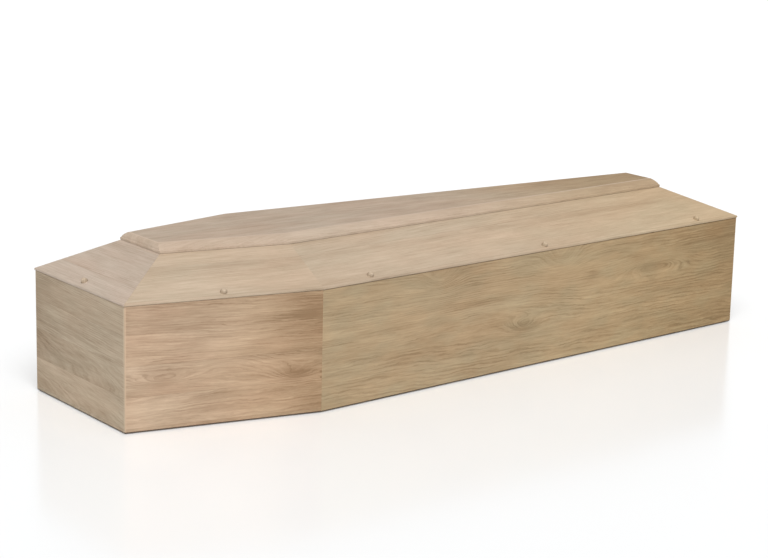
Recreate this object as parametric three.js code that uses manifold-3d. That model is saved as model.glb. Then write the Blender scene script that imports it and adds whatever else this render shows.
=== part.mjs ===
// A shouldered coffin of pale oak: a six-sided case of upright boards, and a raised lid that
// rests on it and lifts off.
//
// Millimetres, +Z up. The origin is on the floor, midway along and across the coffin. The head
// end is at -X and the foot end at +X. Left is +Y, the left hand of one who lies in it.

import * as THREE from 'three';
import { mergeVertices } from 'three/addons/utils/BufferGeometryUtils.js';
import Module from 'manifold-3d';

const wasm = await Module();
wasm.setup();

// The case, measured over the outer faces of its boards
const CASE_LENGTH = 2000;
const HEAD_WIDTH = 437;
const SHOULDER_WIDTH = 642;
const FOOT_WIDTH = 442;
const HEAD_TO_SHOULDER = 487;
const CASE_HEIGHT = 304;
const CASE_BOARD_THICKNESS = 24;
const BASE_THICKNESS = 18;

// The lid's six sloping boards. A run is the level distance from the case's outer face to the
// slope's upper edge, and the rise is the height of the whole slope with the lip below it.
const LID_OVERHANG = 1;
const LID_LIP_HEIGHT = 5;
const LID_RISE = 81.5;
const HEAD_SLOPE_RUN = 171;
const SIDE_SLOPE_RUN = 159;
const FOOT_SLOPE_RUN = 171;
const LID_BOARD_THICKNESS = 20;

// The panel that closes the lid. Its moulded edge has a lip, a sloping ledge, a small step and
// a broad, slightly crowned bevel up to the flat top. On the two short ends the moulding has
// the same heights but only this share of its width.
const PANEL_THICKNESS = 22;
const PANEL_OVERHANG = 2;
const PANEL_LIP_HEIGHT = 5;
const PANEL_LEDGE_WIDTH = 4.5;
const PANEL_LEDGE_RISE = 2.8;
const PANEL_STEP_WIDTH = 0.7;
const PANEL_STEP_RISE = 2.2;
const PANEL_BEVEL_WIDTH = 20.8;
const PANEL_BEVEL_CROWN = 1.2;
const PANEL_BEVEL_FACETS = 6;
const HEAD_MOULDING_SHARE = 0.38;
const FOOT_MOULDING_SHARE = 0.62;

// The round oak plugs over the lid's screws, set square into the slopes. Over the slope each has
// a short neck and a domed head. An inset is the level distance from the lid's rim.
const PLUG_DIAMETER = 16;
const PLUG_BORE_DEPTH = 7;
const PLUG_NECK = 2;
const PLUG_CROWN = 8;
const PLUG_CROWN_RINGS = 5;
const PLUG_SIDES = 32;
const SIDE_PLUG_INSET = 15;
const END_PLUG_INSET = 19;
const PLUG_PAST_SHOULDER = 158;
const PLUG_BEFORE_FOOT = 161;

// Clearances: in each glued joint, under what rests on another piece, and round each plug
const JOINT_GAP = 0.3;
const REST_GAP = 0.3;
const PLUG_CLEARANCE = 0.3;

const OAK = {
  head: new THREE.MeshStandardMaterial({ color: 0xaa9682, roughness: 0.72, metalness: 0 }),
  headSide: new THREE.MeshStandardMaterial({ color: 0xbb9f80, roughness: 0.72, metalness: 0 }),
  footSide: new THREE.MeshStandardMaterial({ color: 0xae9778, roughness: 0.72, metalness: 0 }),
  lid: new THREE.MeshStandardMaterial({ color: 0xc6b196, roughness: 0.7, metalness: 0 }),
  panel: new THREE.MeshStandardMaterial({ color: 0xb9a793, roughness: 0.7, metalness: 0 }),
  plug: new THREE.MeshStandardMaterial({ color: 0xcbb794, roughness: 0.6, metalness: 0 }),
};

// The six sides of the plan, anticlockwise from above, each from its own corner to the next
const LONG_SIDE = { run: SIDE_SLOPE_RUN, moulding: 1, plugInset: SIDE_PLUG_INSET };
const HEAD_END = { run: HEAD_SLOPE_RUN, moulding: HEAD_MOULDING_SHARE, plugInset: END_PLUG_INSET };
const FOOT_END = { run: FOOT_SLOPE_RUN, moulding: FOOT_MOULDING_SHARE, plugInset: END_PLUG_INSET };
const SIDES = [
  { name: 'right_head_side', ...LONG_SIDE, oak: OAK.headSide },
  { name: 'right_foot_side', ...LONG_SIDE, oak: OAK.footSide },
  { name: 'foot_end', ...FOOT_END, oak: OAK.head },
  { name: 'left_foot_side', ...LONG_SIDE, oak: OAK.footSide },
  { name: 'left_head_side', ...LONG_SIDE, oak: OAK.headSide },
  { name: 'head_end', ...HEAD_END, oak: OAK.head },
];
const HEAD_X = -CASE_LENGTH / 2;
const FOOT_X = CASE_LENGTH / 2;
const SHOULDER_X = HEAD_X + HEAD_TO_SHOULDER;
const CASE_CORNERS = [
  new THREE.Vector2(HEAD_X, -HEAD_WIDTH / 2),
  new THREE.Vector2(SHOULDER_X, -SHOULDER_WIDTH / 2),
  new THREE.Vector2(FOOT_X, -FOOT_WIDTH / 2),
  new THREE.Vector2(FOOT_X, FOOT_WIDTH / 2),
  new THREE.Vector2(SHOULDER_X, SHOULDER_WIDTH / 2),
  new THREE.Vector2(HEAD_X, HEAD_WIDTH / 2),
];
const nextSide = (side) => (side + 1) % SIDES.length;
const sideBefore = (side) => (side + SIDES.length - 1) % SIDES.length;

// Unit vectors in plan, along a side and square to it towards the inside
function alongSide(side) {
  return CASE_CORNERS[nextSide(side)].clone().sub(CASE_CORNERS[side]).normalize();
}

function inwards(side) {
  const along = alongSide(side);
  return new THREE.Vector2(-along.y, along.x);
}

// The plan outline with each side moved inwards by its own inset
function outline(insets) {
  const corners = CASE_CORNERS.map((corner, side) => {
    const before = sideBefore(side);
    const a = inwards(before);
    const b = inwards(side);
    const turn = a.cross(b);
    return new THREE.Vector2(
      corner.x + (insets[before] * b.y - insets[side] * a.y) / turn,
      corner.y + (insets[side] * a.x - insets[before] * b.x) / turn,
    );
  });
  return { insets, corners };
}

const evenOutline = (inset) => outline(SIDES.map(() => inset));

// A straight board along one side. Its section is a list of [inset, height], and its ends are
// cut on the lines that join the corners of the outer outline to those of the inner one.
function mitredBoard(side, section, outer, inner) {
  const along = alongSide(side);
  const reach = inner.insets[side] - outer.insets[side];

  function onMitre(corner, inset, direction) {
    const cut = inner.corners[corner].clone().sub(outer.corners[corner]);
    const pull = JOINT_GAP / 2 / Math.abs(along.cross(cut.clone().normalize()));
    return outer.corners[corner]
      .clone()
      .addScaledVector(cut, (inset - outer.insets[side]) / reach)
      .addScaledVector(along, direction * pull);
  }

  const shape = new THREE.Shape(section.map(([inset, height]) => new THREE.Vector2(inset, height)));
  const geometry = new THREE.ExtrudeGeometry(shape, { depth: 1, steps: 1, bevelEnabled: false });
  const position = geometry.getAttribute('position');
  for (let i = 0; i < position.count; i += 1) {
    const inset = position.getX(i);
    const height = position.getY(i);
    const start = onMitre(side, inset, 1);
    const end = onMitre(nextSide(side), inset, -1);
    const point = start.lerp(end, position.getZ(i));
    position.setXYZ(i, point.x, point.y, height);
  }
  return geometry;
}

// A six-sided slab in one piece, built up from levels that each have an outline and a height
function slab(levels) {
  const hexagon = new THREE.Shape(
    SIDES.map((_, corner) => {
      const turn = (corner / SIDES.length) * 2 * Math.PI;
      return new THREE.Vector2(Math.cos(turn), Math.sin(turn));
    }),
  );
  const steps = levels.length - 1;
  const geometry = new THREE.ExtrudeGeometry(hexagon, { depth: steps, steps, bevelEnabled: false });
  const position = geometry.getAttribute('position');
  for (let i = 0; i < position.count; i += 1) {
    const turn = Math.atan2(position.getY(i), position.getX(i));
    const corner = (Math.round((turn / (2 * Math.PI)) * SIDES.length) + SIDES.length) % SIDES.length;
    const level = levels[Math.round(position.getZ(i))];
    const point = level.outline.corners[corner];
    position.setXYZ(i, point.x, point.y, level.height);
  }
  return geometry;
}

// Cutting one closed solid from another
function toSolid(geometry) {
  const bare = geometry.clone();
  bare.deleteAttribute('normal');
  bare.deleteAttribute('uv');
  const merged = mergeVertices(bare, 1e-4);
  return new wasm.Manifold(
    new wasm.Mesh({
      numProp: 3,
      vertProperties: Float32Array.from(merged.getAttribute('position').array),
      triVerts: Uint32Array.from(merged.getIndex().array),
    }),
  );
}

function toGeometry(solid) {
  const mesh = solid.getMesh();
  const geometry = new THREE.BufferGeometry();
  geometry.setAttribute('position', new THREE.BufferAttribute(mesh.vertProperties, 3));
  geometry.setIndex(new THREE.BufferAttribute(mesh.triVerts, 1));
  return geometry;
}

const coffin = new THREE.Group();

function add(name, geometry, oak) {
  const mesh = new THREE.Mesh(geometry, oak);
  mesh.name = name;
  coffin.add(mesh);
  return mesh;
}

// The case: six upright boards, mitred at every corner and at the shoulders
const caseOuter = evenOutline(0);
const caseInner = evenOutline(CASE_BOARD_THICKNESS);
SIDES.forEach(({ name, oak }, side) => {
  const section = [
    [0, 0],
    [CASE_BOARD_THICKNESS, 0],
    [CASE_BOARD_THICKNESS, CASE_HEIGHT],
    [0, CASE_HEIGHT],
  ];
  add(`${name}_board`, mitredBoard(side, section, caseOuter, caseInner), oak);
});

// The base board, let in between the upright boards, flush with their lower edges
const baseOutline = evenOutline(CASE_BOARD_THICKNESS + JOINT_GAP);
const base = slab([
  { outline: baseOutline, height: 0 },
  { outline: baseOutline, height: BASE_THICKNESS },
]);
add('base_board', base, OAK.footSide);

// The screw plugs of one side of the lid, as points in plan on a line inside the lid's rim:
// three on a foot side, counted from the shoulder, and one midway along any other side
function plugPlaces(side, rim) {
  const inset = inwards(side).multiplyScalar(SIDES[side].plugInset);
  const start = rim.corners[side].clone().add(inset);
  const end = rim.corners[nextSide(side)].clone().add(inset);
  if (!SIDES[side].name.endsWith('foot_side')) {
    return [start.lerp(end, 0.5)];
  }
  const [shoulder, foot] = start.x < end.x ? [start, end] : [end, start];
  const footwards = foot.clone().sub(shoulder).normalize();
  const first = shoulder.addScaledVector(footwards, PLUG_PAST_SHOULDER);
  const last = foot.addScaledVector(footwards, -PLUG_BEFORE_FOOT);
  return [first, first.clone().lerp(last, 0.5), last];
}

// A plug: a short round peg with a domed head, standing on its flat end
function plugGeometry(height) {
  const radius = PLUG_DIAMETER / 2;
  const profile = [new THREE.Vector2(0, 0), new THREE.Vector2(radius, 0)];
  for (let ring = 0; ring < PLUG_CROWN_RINGS; ring += 1) {
    const turn = (ring / PLUG_CROWN_RINGS) * (Math.PI / 2);
    profile.push(new THREE.Vector2(radius * Math.cos(turn), height + PLUG_CROWN * Math.sin(turn)));
  }
  profile.push(new THREE.Vector2(0, height + PLUG_CROWN));
  return new THREE.LatheGeometry(profile, PLUG_SIDES);
}

// The lid: six sloping boards, mitred on the hips and at the shoulders, each bored for its plugs
const lidBottom = CASE_HEIGHT + REST_GAP;
const lidShoulder = lidBottom + LID_RISE;
const rimOutline = evenOutline(-LID_OVERHANG);
const slopeTopOutline = outline(SIDES.map(({ run }) => run));
SIDES.forEach(({ name, run, plugInset }, side) => {
  const slope = Math.atan2(LID_RISE - LID_LIP_HEIGHT, run + LID_OVERHANG);
  const levelThickness = LID_BOARD_THICKNESS / Math.sin(slope);
  const section = [
    [-LID_OVERHANG, lidBottom],
    [-LID_OVERHANG + levelThickness - LID_LIP_HEIGHT / Math.tan(slope), lidBottom],
    [run + levelThickness, lidShoulder],
    [run, lidShoulder],
    [-LID_OVERHANG, lidBottom + LID_LIP_HEIGHT],
  ];
  let board = toSolid(mitredBoard(side, section, rimOutline, slopeTopOutline));

  const outwards = inwards(side).negate();
  const normal = new THREE.Vector3(
    outwards.x * Math.sin(slope),
    outwards.y * Math.sin(slope),
    Math.cos(slope),
  );
  const upright = new THREE.Vector3(0, 1, 0);
  const tilt = new THREE.Quaternion().setFromUnitVectors(upright, normal);
  const places = plugPlaces(side, rimOutline);
  places.forEach((point, index) => {
    const height = lidBottom + LID_LIP_HEIGHT + plugInset * Math.tan(slope);
    const onSlope = new THREE.Vector3(point.x, point.y, height);

    const bore = new THREE.CylinderGeometry(
      PLUG_DIAMETER / 2 + PLUG_CLEARANCE,
      PLUG_DIAMETER / 2 + PLUG_CLEARANCE,
      2 * PLUG_BORE_DEPTH,
      PLUG_SIDES,
    );
    bore.applyQuaternion(tilt);
    bore.translate(onSlope.x, onSlope.y, onSlope.z);
    board = board.subtract(toSolid(bore));

    const plugHeight = PLUG_BORE_DEPTH - REST_GAP + PLUG_NECK;
    const number = places.length > 1 ? `_${index + 1}` : '';
    const plug = add(`lid_plug_${name}${number}`, plugGeometry(plugHeight), OAK.plug);
    plug.quaternion.copy(tilt);
    plug.position.copy(onSlope).addScaledVector(normal, REST_GAP - PLUG_BORE_DEPTH);
  });
  add(`lid_${name}_slope`, toGeometry(board), OAK.lid);
});

// The lid's top panel, laid on the level upper edges of the slopes
const panelBottom = lidShoulder + REST_GAP;
const panelOutline = (inset) =>
  outline(SIDES.map(({ run, moulding }) => run - PANEL_OVERHANG + inset * moulding));
const bevelInset = PANEL_LEDGE_WIDTH + PANEL_STEP_WIDTH;
const bevelHeight = PANEL_LIP_HEIGHT + PANEL_LEDGE_RISE + PANEL_STEP_RISE;
const panelLevels = [
  { outline: panelOutline(0), height: panelBottom },
  { outline: panelOutline(0), height: panelBottom + PANEL_LIP_HEIGHT },
  {
    outline: panelOutline(PANEL_LEDGE_WIDTH),
    height: panelBottom + PANEL_LIP_HEIGHT + PANEL_LEDGE_RISE,
  },
];
for (let facet = 0; facet <= PANEL_BEVEL_FACETS; facet += 1) {
  const share = facet / PANEL_BEVEL_FACETS;
  const crown = 4 * PANEL_BEVEL_CROWN * share * (1 - share);
  const rise = (PANEL_THICKNESS - bevelHeight) * share;
  panelLevels.push({
    outline: panelOutline(bevelInset + PANEL_BEVEL_WIDTH * share),
    height: panelBottom + bevelHeight + rise + crown,
  });
}
add('lid_top_panel', slab(panelLevels), OAK.panel);

export default coffin;
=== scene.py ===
"""A shouldered coffin of pale, limed oak boards, on a plain white floor.

Metres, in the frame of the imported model: the head end is at -X, the foot end at +X, +Z is up,
and the side at -Y faces the camera.
"""
import math

import bmesh
import bpy
from mathutils import Matrix, Vector


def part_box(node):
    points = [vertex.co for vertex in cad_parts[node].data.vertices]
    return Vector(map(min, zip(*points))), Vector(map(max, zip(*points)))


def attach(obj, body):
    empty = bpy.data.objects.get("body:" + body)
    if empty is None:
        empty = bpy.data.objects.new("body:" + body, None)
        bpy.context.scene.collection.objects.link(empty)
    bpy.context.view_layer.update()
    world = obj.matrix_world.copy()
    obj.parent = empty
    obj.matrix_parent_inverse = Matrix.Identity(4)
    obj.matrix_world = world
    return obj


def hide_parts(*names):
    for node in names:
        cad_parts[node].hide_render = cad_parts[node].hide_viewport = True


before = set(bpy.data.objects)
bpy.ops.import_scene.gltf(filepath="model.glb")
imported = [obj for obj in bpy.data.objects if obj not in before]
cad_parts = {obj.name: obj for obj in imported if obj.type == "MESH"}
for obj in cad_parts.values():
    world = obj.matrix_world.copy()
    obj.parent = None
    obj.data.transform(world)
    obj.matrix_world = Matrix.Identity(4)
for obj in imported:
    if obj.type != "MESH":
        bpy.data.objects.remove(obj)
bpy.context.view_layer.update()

# Camera
# It stands at chest height off the near head corner and looks along the coffin through a
# long lens, tipped down and very slightly rolled.
CAMERA_PLACE = Vector((-3.3160, -4.2716, 1.4842))
CAMERA_TURN = math.radians(37.061)
CAMERA_DIP = math.radians(13.355)
CAMERA_ROLL = math.radians(1.355)
IMAGE_WIDTH = 768
LENS_IN_PIXELS = 2083.7
SENSOR_WIDTH = 36

camera = bpy.data.objects.new("camera", bpy.data.cameras.new("camera"))
camera.data.sensor_width = SENSOR_WIDTH
camera.data.lens = SENSOR_WIDTH * LENS_IN_PIXELS / IMAGE_WIDTH
camera.matrix_world = (
    Matrix.Translation(CAMERA_PLACE)
    @ Matrix.Rotation(-CAMERA_TURN, 4, "Z")
    @ Matrix.Rotation(math.radians(90) - CAMERA_DIP, 4, "X")
    @ Matrix.Rotation(CAMERA_ROLL, 4, "Z")
)
bpy.context.scene.collection.objects.link(camera)
bpy.context.scene.camera = camera

# The case's upright boards
# Six oak boards stand on edge, mitred and glued at the corners and at the shoulders. The glued
# corners are rounded over as one, so the case is shaped whole and then sawn along its mitres.
# The rounded corners are painted paler, partly as sanded wear and partly as a painted highlight.
# The top edge under the lid has a painted highlight on the head sides and a painted shadow on the
# foot sides and ends, and the foot edge has a painted shadow where the case meets the floor.
BOARD_THICKNESS = 0.024
CORNER_ROUND = 0.0042
TOP_ARRIS = 0.0014
FOOT_ARRIS = 0.0028
GLUE_LINE = 0.00005
SHOULDER_ARRIS = 0.0005
ROUND_STEPS = 3
CORNER_STEPS = 5
SMALL_ROUND_STEPS = 2
SHARP_ANGLE = math.radians(30)
MERGE_DISTANCE = 1e-6
CUT_TOLERANCE = 1e-7
IN_LINE = 0.99

# The patterns in the wood: how often each repeats in a metre along the grain, across it and
# into the board, its detail, and the roughness of that detail
PATTERNS = {
    "sway": ((0.8, 3.5, 3.5), 1.5, 0.5),
    "ripple": ((7.0, 26.0, 26.0), 4.0, 0.6),
    "patch": ((5.0, 24.0, 24.0), 2.0, 0.6),
    "fibre": ((9.0, 300.0, 300.0), 3.0, 0.6),
    "streak": ((9.0, 85.0, 85.0), 5.0, 0.72),
    "cloud": ((1.7, 8.0, 8.0), 2.0, 0.5),
    "blush": ((2.9, 7.0, 7.0), 1.0, 0.5),
    "ashen": ((9.0, 21.0, 21.0), 2.0, 0.5),
    "pore": ((60.0, 1500.0, 1500.0), 1.0, 0.5),
    "ray": ((38.0, 520.0, 520.0), 1.0, 0.5),
}
# These two follow the growth rings: how often each repeats in a metre along the grain and in one
# ring. Their third number only sets the staves apart.
RING_PATTERNS = {
    "vein": ((3.5, 0.7, 1.0), 4.0, 0.68),
    "hair": ((14.0, 2.4, 1.0), 3.0, 0.7),
}
STAVE_JUMP = 3.7
SEAM_WIDTH = 0.0007
RING_WAVER = 1.5
EARLY_WOOD_END = 0.5
EARLY_WOOD_START = 0.85
PORES_IN_LATE_WOOD = 0.15
# From which value of its noise to which each pattern comes in, and between which strengths
PATCH_RANGE = (-0.15, 0.15, 0.1)
PORE_RANGE = (0.08, 0.2)
RAY_RANGE = (0.17, 0.26)
BLUSH_RANGE = (-0.15, 0.2, 0.0, 0.6)
ASHEN_RANGE = (-0.12, 0.15)
SEAM_SHADE = -0.25
PORE_SHADE = -0.22
RAY_SHADE = -0.10
# How far a face of full value goes to the paler colour, for wear and painted highlight
WORN_AND_LIT_SHARE = 0.7
# Darker wood is rougher: two tones, and the roughness at each
ROUGHNESS_RANGE = (0.2, 0.8, 0.72, 0.56)
WOOD_SHINE = 0.35
FIBRE_RELIEF = 0.9
EARLY_WOOD_RELIEF = -0.35
PORE_RELIEF = -0.9
SEAM_RELIEF = -1.5
RELIEF_STRENGTH = 0.4
RELIEF_DEPTH = 0.0004


def colour(code):
    """A hex colour as the linear values that a shader takes."""
    parts = [int(code[i : i + 2], 16) / 255 for i in (1, 3, 5)]
    linear = [p / 12.92 if p <= 0.04045 else ((p + 0.055) / 1.055) ** 2.4 for p in parts]
    return (*linear, 1)


def oak(name, axes, timber, grain):
    """Limed oak. axes places the board's own coordinates: X with the grain, Y across the face
    and Z out of it. Growth rings stand round a pith behind the face, so that they cut it in
    arches, and grain says how far, how wide and how bent they are."""
    material = bpy.data.materials.new(name)
    material.use_nodes = True
    tree = material.node_tree
    tree.nodes.clear()

    def node(kind, inputs, output=0, **settings):
        made = tree.nodes.new(kind)
        for key, value in settings.items():
            setattr(made, key, value)
        for key, value in inputs.items():
            if isinstance(value, bpy.types.NodeSocket):
                tree.links.new(value, made.inputs[key])
            else:
                made.inputs[key].default_value = value
        return made.outputs[output]

    def maths(operation, *values):
        return node("ShaderNodeMath", dict(enumerate(values)), operation=operation)

    def point(x, y, z):
        return node("ShaderNodeCombineXYZ", {0: x, 1: y, 2: z})

    def noise(vector, pattern):
        """A pattern of noise, between -0.5 and 0.5."""
        stretch, detail, roughness = pattern
        stretched = node("ShaderNodeVectorMath", {0: vector, 1: stretch}, operation="MULTIPLY")
        inputs = {"Vector": stretched, "Scale": 1.0, "Detail": detail, "Roughness": roughness}
        return maths("SUBTRACT", node("ShaderNodeTexNoise", inputs), 0.5)

    def spread(value, low, high, to_low=0.0, to_high=1.0):
        inputs = {0: value, 1: low, 2: high, 3: to_low, 4: to_high}
        return node("ShaderNodeMapRange", inputs, interpolation_type="SMOOTHSTEP")

    def mix(factor, first, second, blend="MIX"):
        inputs = {0: factor, 6: first, 7: second}
        return node("ShaderNodeMix", inputs, output=2, data_type="RGBA", blend_type=blend)

    def hump(place, size):
        """1 at a place on the face, falling off smoothly over its size."""
        left = maths("DIVIDE", maths("SUBTRACT", along, place[0]), size[0])
        up = maths("DIVIDE", maths("SUBTRACT", across, place[1]), size[1])
        away = maths("MULTIPLY_ADD", left, left, maths("MULTIPLY", up, up))
        return maths("EXPONENT", maths("MULTIPLY", away, -1.0))

    here = node("ShaderNodeTexCoord", {}, output="Object")
    mapped = node(
        "ShaderNodeMapping",
        {"Vector": here, "Location": axes.translation, "Rotation": axes.to_euler()},
        vector_type="TEXTURE",
    )
    split = node("ShaderNodeSeparateXYZ", {0: mapped}).node.outputs
    along, across, deep = split[0], split[1], split[2]

    # The staves that the board is glued up from
    place = maths("DIVIDE", maths("SUBTRACT", across, grain["stave_start"]), grain["stave"])
    row = maths("FLOOR", place)
    stave = node(
        "ShaderNodeTexWhiteNoise", {"W": maths("ADD", row, grain["seed"])}, noise_dimensions="1D"
    )
    from_seam = maths("ABSOLUTE", maths("SUBTRACT", maths("FRACT", place), 0.5))
    seam = spread(from_seam, 0.5 - SEAM_WIDTH / grain["stave"], 0.5)
    jump = maths("MULTIPLY_ADD", row, STAVE_JUMP, grain["seed"])
    jump_all_ways = point(jump, jump, jump)
    wood = node("ShaderNodeVectorMath", {0: mapped, 1: jump_all_ways}, operation="ADD")

    # The fibres wander a little off straight, and the growth rings more
    sway = noise(wood, PATTERNS["sway"])
    flow = maths("MULTIPLY_ADD", sway, grain["sway"], across)
    ripple = noise(wood, PATTERNS["ripple"])
    depth = maths("MULTIPLY_ADD", along, grain["lean"], grain["pith_depth"])
    depth = maths("MULTIPLY_ADD", sway, grain["bend"], maths("ADD", depth, deep))
    shifted = maths("MULTIPLY_ADD", maths("SUBTRACT", stave, 0.5), grain["stave_shift"], flow)
    height = maths("SUBTRACT", shifted, grain["pith_height"])
    radius = maths("SQRT", maths("MULTIPLY_ADD", height, height, maths("MULTIPLY", depth, depth)))
    radius = maths("MULTIPLY_ADD", ripple, grain["ripple"], radius)
    for eye_place, eye_size, lift in grain["eyes"]:
        radius = maths("MULTIPLY_ADD", hump(eye_place, eye_size), lift, radius)
    years = maths("DIVIDE", radius, grain["ring"])
    growth = point(along, years, jump)
    vein = noise(growth, RING_PATTERNS["vein"])
    hair = noise(growth, RING_PATTERNS["hair"])
    ring = maths("FRACT", maths("MULTIPLY_ADD", vein, RING_WAVER, years))
    early = maths("SUBTRACT", 1.0, spread(ring, 0.0, EARLY_WOOD_END))
    early = maths("MAXIMUM", early, spread(ring, EARLY_WOOD_START, 1.0))
    patch = noise(wood, PATTERNS["patch"])
    early = maths("MULTIPLY", early, spread(patch, *PATCH_RANGE))

    # Fibres, broader streaks, pores, rays and clouds of colour
    straight = point(along, flow, deep)
    shuffled = node("ShaderNodeVectorMath", {0: straight, 1: jump_all_ways}, operation="ADD")
    fibre = noise(shuffled, PATTERNS["fibre"])
    streak = noise(shuffled, PATTERNS["streak"])
    cloud = noise(wood, PATTERNS["cloud"])
    blush = noise(wood, PATTERNS["blush"])
    ashen = noise(wood, PATTERNS["ashen"])
    dash = spread(noise(shuffled, PATTERNS["pore"]), *PORE_RANGE)
    share = maths("MULTIPLY_ADD", early, 1 - PORES_IN_LATE_WOOD, PORES_IN_LATE_WOOD)
    pore = maths("MULTIPLY", dash, share)
    ray = spread(noise(shuffled, PATTERNS["ray"]), *RAY_RANGE)

    # A tone of 0 is the timber's dark colour, 0.5 its middle one and 1 its pale one
    tone = maths("MULTIPLY_ADD", early, -grain["line"], 0.5 + 0.3 * grain["line"])
    weights = [
        (vein, grain["vein"]),
        (hair, grain["hair"]),
        (fibre, grain["fibre"]),
        (streak, grain["streak"]),
        (cloud, grain["cloud"]),
        (ripple, grain["mottle"]),
        (maths("SUBTRACT", stave, 0.5), grain["stave_tone"]),
        (pore, PORE_SHADE),
        (ray, RAY_SHADE),
        (seam, SEAM_SHADE),
    ]
    for mark_place, mark_size, shade in grain["marks"]:
        weights.append((hump(mark_place, mark_size), shade))
    for pattern, weight in weights:
        tone = maths("MULTIPLY_ADD", pattern, weight, tone)
    base = mix(maths("MULTIPLY", tone, 2.0), timber["dark"], timber["mid"])
    base = mix(maths("MULTIPLY_ADD", tone, 2.0, -1.0), base, timber["pale"])
    base = mix(spread(blush, *BLUSH_RANGE), base, timber["blush"], "MULTIPLY")
    base = mix(spread(ashen, *ASHEN_RANGE), base, timber["ashen"], "MULTIPLY")

    # The boards yellow a little towards the coffin's foot end
    footward = node("ShaderNodeSeparateXYZ", {0: here})
    base = mix(spread(footward, *grain["yellowing"]), base, timber["yellow"], "MULTIPLY")

    # A face's value in this attribute paints it paler when positive, for sanded wear and as a
    # painted highlight, and darker when negative, as painted shade
    painted_light_and_wear = node("ShaderNodeAttribute", {}, output="Fac", attribute_name="painted_light_and_wear")
    base = mix(maths("MULTIPLY", painted_light_and_wear, WORN_AND_LIT_SHARE), base, timber["worn_and_lit"])
    base = mix(maths("MULTIPLY", painted_light_and_wear, -1.0), base, timber["painted_shade"], "MULTIPLY")

    roughness = spread(tone, *ROUGHNESS_RANGE)
    relief = maths("MULTIPLY", fibre, FIBRE_RELIEF)
    relief = maths("MULTIPLY_ADD", early, EARLY_WOOD_RELIEF, relief)
    relief = maths("MULTIPLY_ADD", pore, PORE_RELIEF, relief)
    relief = maths("MULTIPLY_ADD", seam, SEAM_RELIEF, relief)
    bump = node(
        "ShaderNodeBump",
        {"Strength": RELIEF_STRENGTH, "Distance": RELIEF_DEPTH, "Height": relief},
    )
    shader = node(
        "ShaderNodeBsdfPrincipled",
        {"Base Color": base, "Roughness": roughness, "Normal": bump},
    )
    shader.node.inputs["Specular IOR Level"].default_value = WOOD_SHINE
    surface = tree.nodes.new("ShaderNodeOutputMaterial")
    tree.links.new(shader, surface.inputs["Surface"])
    return material


# How pale a face is painted, in an attribute of its own: paler for worn edges and painted
# highlights, darker for painted shade
PALER = 1.0
AS_THE_FACE = 0.0
DARKER = -1.0


def soften(bm, edges, width, segments=ROUND_STEPS, shade=PALER):
    """Rounds these edges over, smooth, and marks how pale the round is."""
    if not edges:
        return
    made = bmesh.ops.bevel(
        bm,
        geom=edges,
        offset=width,
        offset_type="OFFSET",
        affect="EDGES",
        segments=segments,
        profile=0.5,
        material=-1,
    )
    layer = bm.faces.layers.float["painted_light_and_wear"]
    for face in made["faces"]:
        face[layer] = shade
        face.smooth = True


def saw(bm, point, direction):
    """Cuts away what lies beyond the plane through point, on the side that direction shows."""
    geometry = bm.verts[:] + bm.edges[:] + bm.faces[:]
    bmesh.ops.bisect_plane(
        bm,
        geom=geometry,
        dist=CUT_TOLERANCE,
        plane_co=point,
        plane_no=direction,
        clear_outer=True,
    )
    bmesh.ops.holes_fill(bm, edges=[edge for edge in bm.edges if edge.is_boundary], sides=0)


def piece(name, bm, material, node):
    """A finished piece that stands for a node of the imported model."""
    bmesh.ops.recalc_face_normals(bm, faces=bm.faces)
    mesh = bpy.data.meshes.new(name)
    bm.to_mesh(mesh)
    bm.free()
    made = bpy.data.objects.new(name, mesh)
    mesh.materials.append(material)
    bpy.context.scene.collection.objects.link(made)
    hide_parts(node)
    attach(made, "root")


def plan_corner(node, x_way, y_way):
    """The corner of a node's plan that reaches farthest that way."""
    reach = max(
        (vertex.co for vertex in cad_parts[node].data.vertices),
        key=lambda co: co.x * x_way + co.y * y_way,
    )
    return Vector((reach.x, reach.y, 0))


near_corners = [
    plan_corner("head_end_board", -1, -1),
    plan_corner("right_head_side_board", 0, -1),
    plan_corner("foot_end_board", 1, -1),
]
mirrored = [Vector((corner.x, -corner.y, 0)) for corner in reversed(near_corners)]
CASE_CORNERS = near_corners + mirrored
CASE_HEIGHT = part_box("head_end_board")[1][2]
SIDES = [
    "right_head_side",
    "right_foot_side",
    "foot_end",
    "left_foot_side",
    "left_head_side",
    "head_end",
]


def side_lines(side):
    """A side's first and last corner in plan, the way along it and the way out of it."""
    start = CASE_CORNERS[side]
    end = CASE_CORNERS[(side + 1) % len(SIDES)]
    along = (end - start).normalized()
    return start, end, along, Vector((along.y, -along.x, 0))


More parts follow.
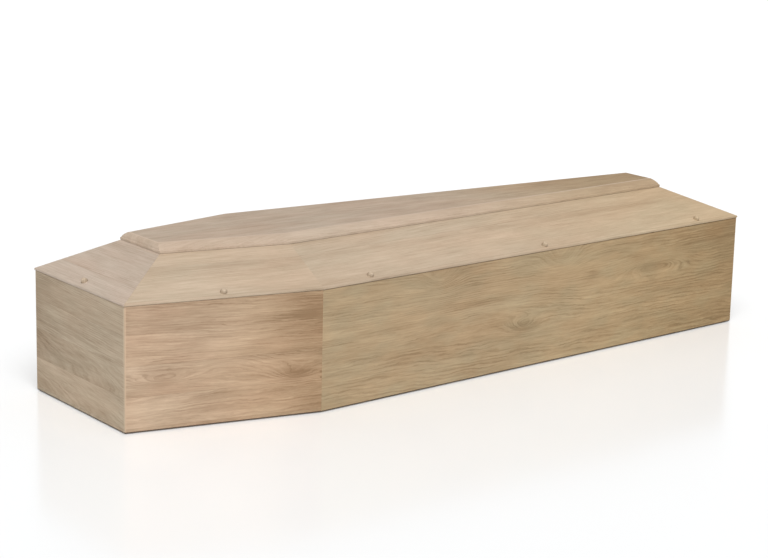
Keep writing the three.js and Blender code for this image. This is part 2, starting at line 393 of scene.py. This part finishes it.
def whole_case(painted_rim_light_and_shade):
    """The outer shape of the closed case, rounded at its corners and along its edges."""
    bm = bmesh.new()
    bm.faces.layers.float.new("painted_light_and_wear")
    bottom = bm.faces.new([bm.verts.new(corner) for corner in CASE_CORNERS])
    top = bmesh.ops.extrude_face_region(bm, geom=[bottom])["geom"]
    raised = [part for part in top if isinstance(part, bmesh.types.BMVert)]
    bmesh.ops.translate(bm, verts=raised, vec=(0, 0, CASE_HEIGHT))
    bmesh.ops.recalc_face_normals(bm, faces=bm.faces)
    shoulder = CASE_CORNERS[1].x
    upright = [
        edge
        for edge in bm.edges
        if abs(edge.verts[0].co.z - edge.verts[1].co.z) > CASE_HEIGHT / 2
        and abs(edge.verts[0].co.x - shoulder) > BOARD_THICKNESS
    ]
    # The rounded corners are painted paler: partly sanded wear, partly a painted highlight
    soften(bm, upright, CORNER_ROUND, segments=CORNER_STEPS)
    # The top edge takes the given painted rim light; the foot edge is painted dark as the shadow
    # where the case meets the floor
    for height, width, shade in ((CASE_HEIGHT, TOP_ARRIS, painted_rim_light_and_shade), (0, FOOT_ARRIS, DARKER)):
        level = [
            edge
            for edge in bm.edges
            if all(abs(vertex.co.z - height) < TOP_ARRIS for vertex in edge.verts)
        ]
        soften(bm, level, width, shade=shade)
    return bm


def mitre(corner):
    """The way along a side's end cut at this corner of the case, from outside to inside."""
    before = side_lines(corner - 1)[3]
    after = side_lines(corner)[3]
    return -(before + after).normalized()


def face_axes(place, along, out):
    """Board coordinates at a place: X along the board, Y up its face, Z out of it."""
    up = out.cross(along)
    turned = Matrix((along, up, out)).transposed()
    return Matrix.Translation(place) @ turned.to_4x4()


def limed(code):
    """The colours of a limed timber, round its middle tone, with a paler one for wear and painted
    highlights and a dark one for painted shade. blush, ashen, yellow and the painted shade are
    multiplied into it."""
    middle = colour(code)

    def times(*factors):
        return (*(part * factor for part, factor in zip(middle, factors)), 1)

    return {
        "dark": times(0.60, 0.54, 0.47),
        "mid": middle,
        "pale": times(1.42, 1.47, 1.54),
        "blush": (1.0, 0.93, 0.89, 1),
        "ashen": (0.98, 1.0, 1.0, 1),
        "yellow": (1.01, 0.975, 0.85, 1),
        "worn_and_lit": times(1.25, 1.27, 1.30),
        "painted_shade": (0.24, 0.21, 0.18, 1),
    }


# A board's grain, in metres on its face from its middle. The pith is the middle of the rings, and
# "ring" a year's width. From "lean" to "ripple" it says how far rings and fibres stray, and from
# "line" to "mottle" how strongly each pattern shows. "yellowing" is where along the coffin the
# wood turns yellower. "eyes" are where the rings bulge round a knot: a place, a size and a
# lift. "marks" are patches: a place, a size and how much paler.
PLAIN_GRAIN = {
    "seed": 1.3,
    "stave": 1.0,
    "stave_start": -0.5,
    "stave_tone": 0.0,
    "stave_shift": 0.0,
    "pith_depth": 0.20,
    "pith_height": 0.0,
    "lean": 0.07,
    "sway": 0.03,
    "bend": 0.10,
    "ripple": 0.012,
    "ring": 0.0042,
    "line": 0.20,
    "vein": 0.40,
    "hair": 0.55,
    "fibre": 0.45,
    "streak": 0.52,
    "cloud": 0.45,
    "mottle": 0.25,
    "yellowing": (-0.2, 1.1),
    "eyes": [],
    "marks": [],
}
# The middle tones differ between kinds of board partly as the wood's own and partly as painted
# light: each is paler where its face would catch more light and darker where less
END_OAK = limed("#9e8d77")
END_GRAIN = {
    **PLAIN_GRAIN,
    "stave": 0.075,
    "stave_start": 0.008,
    "stave_tone": 0.08,
    "stave_shift": 0.15,
    "pith_depth": 0.12,
    "pith_height": -0.10,
    "hair": 0.65,
    "mottle": 0.40,
    "marks": [((-0.22, 0.0), (0.09, 0.3), -0.12), ((-0.20, 0.03), (0.07, 0.03), -0.08)],
}
HEAD_SIDE_OAK = limed("#a68e76")
HEAD_SIDE_GRAIN = {
    **END_GRAIN,
    "seed": 4.1,
    "stave_tone": 0.14,
    "pith_depth": 0.10,
    "pith_height": -0.16,
    "ripple": 0.022,
    "ring": 0.0060,
    "vein": 0.50,
    "hair": 0.62,
    "streak": 0.58,
    "cloud": 0.60,
    "mottle": 0.60,
    "yellowing": (-0.95, -0.35),
    "eyes": [
        ((0.18, -0.045), (0.045, 0.020), 0.020),
        ((-0.16, -0.031), (0.06, 0.016), 0.022),
        ((0.02, -0.010), (0.08, 0.030), -0.014),
    ],
    "marks": [
        ((-0.096, 0.108), (0.07, 0.024), -0.06),
        ((-0.23, 0.11), (0.05, 0.040), 0.14),
        ((0.03, 0.115), (0.09, 0.024), 0.12),
        ((0.21, 0.10), (0.05, 0.030), -0.22),
        ((0.18, -0.047), (0.040, 0.018), -0.46),
        ((0.14, 0.018), (0.10, 0.016), -0.14),
        ((-0.15, -0.031), (0.05, 0.014), -0.12),
        ((-0.138, 0.076), (0.09, 0.010), 0.15),
        ((-0.187, -0.105), (0.06, 0.040), 0.14),
        ((-0.228, 0.0), (0.02, 0.014), 0.18),
        ((0.27, 0.0), (0.12, 0.5), -0.31),
        ((0.246, -0.050), (0.0022, 0.0022), -0.60),
        ((0.246, -0.064), (0.0022, 0.0022), -0.60),
    ],
}
FOOT_SIDE_OAK = {**limed("#9d8768"), "ashen": (0.95, 1.0, 1.03, 1)}
FOOT_SIDE_GRAIN = {
    **PLAIN_GRAIN,
    "seed": 7.9,
    "pith_depth": 0.12,
    "pith_height": -0.22,
    "lean": 0.02,
    "bend": 0.12,
    "ripple": 0.022,
    "ring": 0.0074,
    "line": 0.22,
    "vein": 0.45,
    "hair": 0.60,
    "streak": 0.42,
    "mottle": 0.50,
    "eyes": [
        ((0.424, 0.058), (0.12, 0.024), -0.055),
        ((-0.079, -0.040), (0.05, 0.022), 0.022),
        ((-0.20, 0.020), (0.28, 0.060), -0.030),
        ((0.05, 0.126), (0.07, 0.040), 0.045),
        ((-0.38, 0.126), (0.06, 0.030), 0.030),
    ],
    "marks": [
        ((0.85, 0.0), (0.35, 0.6), -0.36),
        ((-0.079, -0.040), (0.050, 0.024), -0.26),
        ((0.40, 0.062), (0.07, 0.012), -0.22),
        ((0.44, 0.036), (0.14, 0.007), 0.18),
        ((0.178, 0.065), (0.035, 0.016), -0.24),
        ((-0.70, 0.018), (0.12, 0.008), -0.18),
        ((-0.50, 0.024), (0.12, 0.007), -0.18),
        ((-0.25, 0.044), (0.09, 0.008), -0.28),
        ((-0.30, 0.026), (0.24, 0.009), 0.14),
        ((0.06, 0.033), (0.10, 0.016), -0.16),
        ((0.35, -0.050), (0.30, 0.010), 0.10),
        ((0.40, -0.100), (0.22, 0.040), -0.12),
    ],
}
# Each kind's timber, grain, painted light along the rim under the lid (a painted highlight on the
# head sides, a painted shadow on the foot sides and ends) and slot
BOARD_KINDS = {
    "head_side": (HEAD_SIDE_OAK, HEAD_SIDE_GRAIN, 0.3, "head_side_oak"),
    "foot_side": (FOOT_SIDE_OAK, FOOT_SIDE_GRAIN, -0.5, "case_oak"),
    "end": (END_OAK, END_GRAIN, -0.1, "end_oak"),
}


def kind_of(side):
    return next(kind for kind in BOARD_KINDS if SIDES[side].endswith(kind))


for side, side_name in enumerate(SIDES):
    start, end, along, out = side_lines(side)
    timber, grain, painted_rim_light_and_shade, slot = BOARD_KINDS[kind_of(side)]
    board = whole_case(painted_rim_light_and_shade)
    for corner, beyond in ((side, -1), (side + 1, 1)):
        cut = mitre(corner % len(SIDES))
        square = Vector((cut.y, -cut.x, 0))
        if square.dot(along) * beyond < 0:
            square.negate()
        place = CASE_CORNERS[corner % len(SIDES)] - square * GLUE_LINE / 2
        saw(board, place, square)
    saw(board, start - out * BOARD_THICKNESS, -out)
    shoulder = [
        edge
        for edge in board.edges
        if edge.calc_face_angle(0) > SHARP_ANGLE
        and abs(edge.verts[0].co.z - edge.verts[1].co.z) > CASE_HEIGHT / 2
        and all((vertex.co - start).dot(out) > -TOP_ARRIS for vertex in edge.verts)
        and abs(edge.verts[0].co.x - CASE_CORNERS[1].x) < TOP_ARRIS
    ]
    soften(board, shoulder, SHOULDER_ARRIS, segments=SMALL_ROUND_STEPS, shade=AS_THE_FACE)
    middle = (start + end) / 2 + Vector((0, 0, CASE_HEIGHT / 2))
    axes = face_axes(middle, along, out)
    grain = {**grain, "seed": grain["seed"] + side}
    material = oak(f"{side_name}_oak", axes, timber, grain)
    piece(f"{side_name}_board_wood", board, material, f"{side_name}_board")

# The base board
# One wide oak board, let in between the upright boards. Only its underside shows, when the
# coffin is carried.
BASE_ARRIS = 0.001
FLAT_ANGLE = math.radians(1)


def merged_copy(node):
    """A copy of a node's mesh with its loose triangles joined into flat faces."""
    bm = bmesh.new()
    bm.from_mesh(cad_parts[node].data)
    bm.faces.layers.float.new("painted_light_and_wear")
    bmesh.ops.remove_doubles(bm, verts=bm.verts, dist=MERGE_DISTANCE)
    bmesh.ops.dissolve_limit(bm, angle_limit=FLAT_ANGLE, verts=bm.verts[:], edges=bm.edges[:])
    for face in bm.faces:
        face.smooth = False
    return bm


base = merged_copy("base_board")
soften(base, base.edges[:], BASE_ARRIS, segments=SMALL_ROUND_STEPS, shade=AS_THE_FACE)
base_grain = {**END_GRAIN, "seed": 21.0, "stave": 0.12, "marks": []}
base_axes = face_axes(Vector((0, 0, 0)), Vector((1, 0, 0)), Vector((0, 0, -1)))
base_oak = oak("base_oak", base_axes, FOOT_SIDE_OAK, base_grain)
piece("base_board_wood", base, base_oak, "base_board")

# The lid's sloping boards
# Six oak boards lean together, mitred on the hips and at the shoulders, with a thin rounded
# lip that overhangs the case. Each is bored near its lip for the plugs over the lid screws.
LIP_ROUND = 0.0018
# The lid's lip and its round are painted darker: painted shade on the overhanging edge
PAINTED_SHADE_ON_LID_LIP = -0.16
BORE_ARRIS = 0.0005
JOINT_CLOSING = 0.00026
# The lid's tones are paler than the case's and the panel's partly as painted light, for faces
# that would catch more light
LID_OAK = limed("#b29f89")
LID_END_OAK = limed("#b3a292")
LID_GRAIN = {
    **PLAIN_GRAIN,
    "seed": 31.0,
    "stave": 0.12,
    "stave_start": -0.018,
    "stave_tone": 0.06,
    "pith_depth": 0.16,
    "pith_height": 0.24,
    "lean": 0.03,
    "bend": 0.06,
    "ripple": 0.006,
    "line": 0.10,
    "vein": 0.30,
    "hair": 0.40,
    "fibre": 0.32,
    "streak": 0.42,
    "cloud": 0.25,
}
BORE_EDGE_ANGLE = math.radians(60)
PAST_THE_ENDS = 9.0
# A painted shadow: a darker band along each slope's upper edge, under the panel's overhang
PAINTED_SHADOW_UNDER_THE_PANEL = ((0.0, 0.089), (PAST_THE_ENDS, 0.012), -0.12)
LID_MARKS = {
    "head_side": [
        ((-0.067, 0.020), (0.12, 0.030), 0.10),
        ((0.227, -0.059), (0.05, 0.022), -0.16),
        ((0.10, -0.058), (0.18, 0.026), -0.14),
    ],
    "foot_side": [((-0.731, -0.054), (0.06, 0.022), -0.16), ((0.75, 0.0), (0.5, 1.0), 0.05)],
    "end": [],
}
lid_axes = {}
for side, side_name in enumerate(SIDES):
    start, end, along, out = side_lines(side)
    node_name = f"lid_{side_name}_slope"
    board = merged_copy(node_name)
    main_face = max(board.faces, key=lambda face: face.calc_area() * (face.normal.z > 0.5))
    slope_out = main_face.normal.copy()
    middle = main_face.calc_center_median()
    lip = [face for face in board.faces if face.normal.dot(out) > IN_LINE]
    # The lip's faces get painted shade
    for face in lip:
        face[board.faces.layers.float["painted_light_and_wear"]] = PAINTED_SHADE_ON_LID_LIP
    lip_edges = [
        edge
        for edge in board.edges
        if any(face in lip for face in edge.link_faces)
        and abs((edge.verts[1].co - edge.verts[0].co).normalized().dot(along)) > IN_LINE
    ]
    bore_edges = [
        edge
        for edge in board.edges
        if edge.calc_face_angle(0) > BORE_EDGE_ANGLE
        and edge.calc_length() < BOARD_THICKNESS / 4
        and all(abs((vertex.co - middle).dot(slope_out)) < BORE_ARRIS for vertex in edge.verts)
    ]
    soften(board, bore_edges, BORE_ARRIS, segments=SMALL_ROUND_STEPS, shade=AS_THE_FACE)
    lip_edges = [edge for edge in lip_edges if edge.is_valid]
    soften(board, lip_edges, LIP_ROUND, shade=PAINTED_SHADE_ON_LID_LIP)
    axes = face_axes(middle, along, slope_out)
    lid_axes[side_name] = axes

    # Each board is a hair longer than its solid, so that the mitres look glued
    lengthwise = 0 if abs(along.x) > abs(along.y) else 1
    stretch = [1, 1, 1]
    stretch[lengthwise] += JOINT_CLOSING / (end - start).length
    centred = Matrix.Translation(-middle)
    bmesh.ops.scale(board, verts=board.verts, vec=stretch, space=centred)
    marks = [PAINTED_SHADOW_UNDER_THE_PANEL, *LID_MARKS[kind_of(side)]]
    grain = {**LID_GRAIN, "seed": LID_GRAIN["seed"] + side, "marks": marks}
    timber = LID_END_OAK if kind_of(side) == "end" else LID_OAK
    material = oak(f"lid_{side_name}_oak", axes, timber, grain)
    piece(f"lid_{side_name}_wood", board, material, node_name)

# The top panel
# One flat oak board with a moulding run round its edge: a lip, a narrow ledge, a small step
# and a broad, slightly crowned bevel up to a crisp edge. It lies on the upper edges of the
# sloping boards and stands a little over them. The moulding and the rounded top edge are painted
# paler: a painted highlight.
CORNER_ANGLE = math.radians(11)
LEVEL = 0.999
# The lip and step faces and the bevel are painted paler: a painted highlight on the bevel, and
# painted light taking the shade off the lip and step
PAINTED_LIGHT_ON_PANEL_LIP = 0.35
PAINTED_LIGHT_ON_BEVEL = 0.26
PANEL_ARRIS = 0.002
# Its tone, set against the slopes' and the case's, is partly painted light, as theirs are
PANEL_OAK = {**limed("#ae9b88"), "yellow": (1.0, 0.935, 0.74, 1)}
panel = merged_copy("lid_top_panel")
panel_shades = panel.faces.layers.float["painted_light_and_wear"]
for face in panel.faces:
    level = abs(face.normal.z) > LEVEL
    face.smooth = not level
    if not level:
        face[panel_shades] = PAINTED_LIGHT_ON_PANEL_LIP if face.normal.z < 0.5 else PAINTED_LIGHT_ON_BEVEL
panel_face = max(panel.faces, key=lambda face: face.calc_center_median().z)
# The top face's edge is rounded and painted paler: a painted highlight
soften(panel, panel_face.edges[:], PANEL_ARRIS, segments=SMALL_ROUND_STEPS)
for edge in panel.edges:
    edge.smooth = edge.calc_face_angle(0) < CORNER_ANGLE
panel_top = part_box("lid_top_panel")[1][2]
panel_axes = face_axes(Vector((0, 0, panel_top)), Vector((1, 0, 0)), Vector((0, 0, 1)))
panel_grain = {
    **LID_GRAIN,
    "seed": 53.0,
    "pith_depth": 0.10,
    "stave": 1.0,
    "stave_start": -0.5,
    "stave_tone": 0.0,
    "mottle": 0.50,
    "streak": 0.55,
    "yellowing": (-0.1, 0.70),
    "marks": [((0.85, 0.0), (0.55, 1.0), -0.28)],
}
panel_oak = oak("panel_oak", panel_axes, PANEL_OAK, panel_grain)
piece("lid_top_panel_wood", panel, panel_oak, "lid_top_panel")

# The screw plugs
# Each lid screw is sunk in a round bore and hidden by a turned oak plug. Its peg fills the
# bore, and over the slope it has a short neck and a domed head, with painted shade round its
# side.
PLUG_RADIUS = 0.00795
PLUG_PEG = 0.0066
PLUG_NECK = 0.002
PLUG_CROWN = 0.00795
PLUG_CROWN_STEPS = 10
PLUG_CAP = 0.0056
PAINTED_SHADE_ON_PLUG_SIDE = -0.22
PLUG_TURNS = 40
PLUG_OAK = limed("#b2a08a")
PLUG_GRAIN = {**LID_GRAIN, "seed": 70.0}


def plug(node, axes, out):
    """A turned button on the slope's surface, over its node."""
    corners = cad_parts[node].data.vertices
    centre = sum((vertex.co for vertex in corners), Vector()) / len(corners)
    surface = axes.translation
    place = centre - out * (centre - surface).dot(out)
    bm = bmesh.new()
    bm.faces.layers.float.new("painted_light_and_wear")
    outline = [(0, -PLUG_PEG), (PLUG_RADIUS, -PLUG_PEG), (PLUG_RADIUS, 0)]
    for step in range(PLUG_CROWN_STEPS):
        turn = math.pi / 2 * step / PLUG_CROWN_STEPS
        height = PLUG_NECK + PLUG_CROWN * math.sin(turn)
        outline.append((PLUG_RADIUS * math.cos(turn), height))
    outline.append((0, PLUG_NECK + PLUG_CROWN))
    profile = [bm.verts.new((radius, 0, height)) for radius, height in outline]
    edges = [bm.edges.new(pair) for pair in zip(profile, profile[1:])]
    bmesh.ops.spin(
        bm,
        geom=profile + edges,
        cent=(0, 0, 0),
        axis=(0, 0, 1),
        angle=2 * math.pi,
        steps=PLUG_TURNS,
        use_merge=True,
    )
    bmesh.ops.remove_doubles(bm, verts=bm.verts, dist=MERGE_DISTANCE)
    layer = bm.faces.layers.float["painted_light_and_wear"]
    for face in bm.faces:
        face.smooth = True
        middle = face.calc_center_median()
        # The dome's side round the cap gets painted shade
        if middle.z > PLUG_NECK and middle.to_2d().length > PLUG_CAP:
            face[layer] = PAINTED_SHADE_ON_PLUG_SIDE
    turned = Matrix.Translation(place) @ axes.to_3x3().to_4x4()
    bmesh.ops.transform(bm, matrix=turned, verts=bm.verts)
    material = oak(f"{node}_oak", turned, PLUG_OAK, PLUG_GRAIN)
    piece(f"{node}_wood", bm, material, node)


for side_name, axes in lid_axes.items():
    out = axes.to_3x3() @ Vector((0, 0, 1))
    for node_name in sorted(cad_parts):
        if node_name.startswith(f"lid_plug_{side_name}"):
            plug(node_name, axes, out)

# Floor, room and lamp
# A wide white floor, which shines and glows a little, a white room round it, brighter low down,
# and one soft lamp high behind the camera.
FLOOR_HALF_WIDTH = 40
FLOOR_DROP = 0.0022
FLOOR_COLOUR = (0.97, 0.98, 0.985, 1)
FLOOR_ROUGHNESS = 0.16
FLOOR_SHINE = 1.0
FLOOR_INDEX = 1.8
FLOOR_GLOW = 0.04
WALL_LIGHT = 1.05
CEILING_LIGHT = 0.46
WALL_FADE = (0.08, 0.42)
LAMP_POWER = 2.55
LAMP_SPREAD = math.radians(45)
LAMP_FROM = Vector((-0.34, -0.52, 0.78))
WHITE = (1, 1, 1, 1)

floor = bmesh.new()
bmesh.ops.create_grid(floor, x_segments=1, y_segments=1, size=FLOOR_HALF_WIDTH)
bmesh.ops.translate(floor, verts=floor.verts, vec=(0, 0, -FLOOR_DROP))
floor_mesh = bpy.data.meshes.new("floor")
floor.to_mesh(floor_mesh)
floor.free()
floor_object = bpy.data.objects.new("floor", floor_mesh)
bpy.context.scene.collection.objects.link(floor_object)
floor_paint = bpy.data.materials.new("floor_paint")
floor_paint.use_nodes = True
floor_shader = floor_paint.node_tree.nodes["Principled BSDF"]
floor_shader.inputs["Base Color"].default_value = FLOOR_COLOUR
floor_shader.inputs["Roughness"].default_value = FLOOR_ROUGHNESS
floor_shader.inputs["Specular IOR Level"].default_value = FLOOR_SHINE
floor_shader.inputs["IOR"].default_value = FLOOR_INDEX
floor_shader.inputs["Emission Color"].default_value = WHITE
floor_shader.inputs["Emission Strength"].default_value = FLOOR_GLOW
floor_mesh.materials.append(floor_paint)

world = bpy.data.worlds.new("room")
world.use_nodes = True
world_tree = world.node_tree
direction = world_tree.nodes.new("ShaderNodeTexCoord").outputs["Generated"]
split_direction = world_tree.nodes.new("ShaderNodeSeparateXYZ")
fade = world_tree.nodes.new("ShaderNodeMapRange")
fade.interpolation_type = "SMOOTHSTEP"
for socket, value in zip(fade.inputs[1:5], (*WALL_FADE, WALL_LIGHT, CEILING_LIGHT)):
    socket.default_value = value
world_tree.links.new(direction, split_direction.inputs[0])
world_tree.links.new(split_direction.outputs[2], fade.inputs[0])
world_tree.links.new(fade.outputs[0], world_tree.nodes["Background"].inputs["Strength"])
world_tree.nodes["Background"].inputs["Color"].default_value = WHITE
bpy.context.scene.world = world

lamp = bpy.data.objects.new("lamp", bpy.data.lights.new("lamp", "SUN"))
lamp.data.energy = LAMP_POWER
lamp.data.angle = LAMP_SPREAD
lamp.matrix_world = LAMP_FROM.to_track_quat("Z", "Y").to_matrix().to_4x4()
bpy.context.scene.collection.objects.link(lamp)
bpy.context.scene.view_settings.view_transform = "Standard"
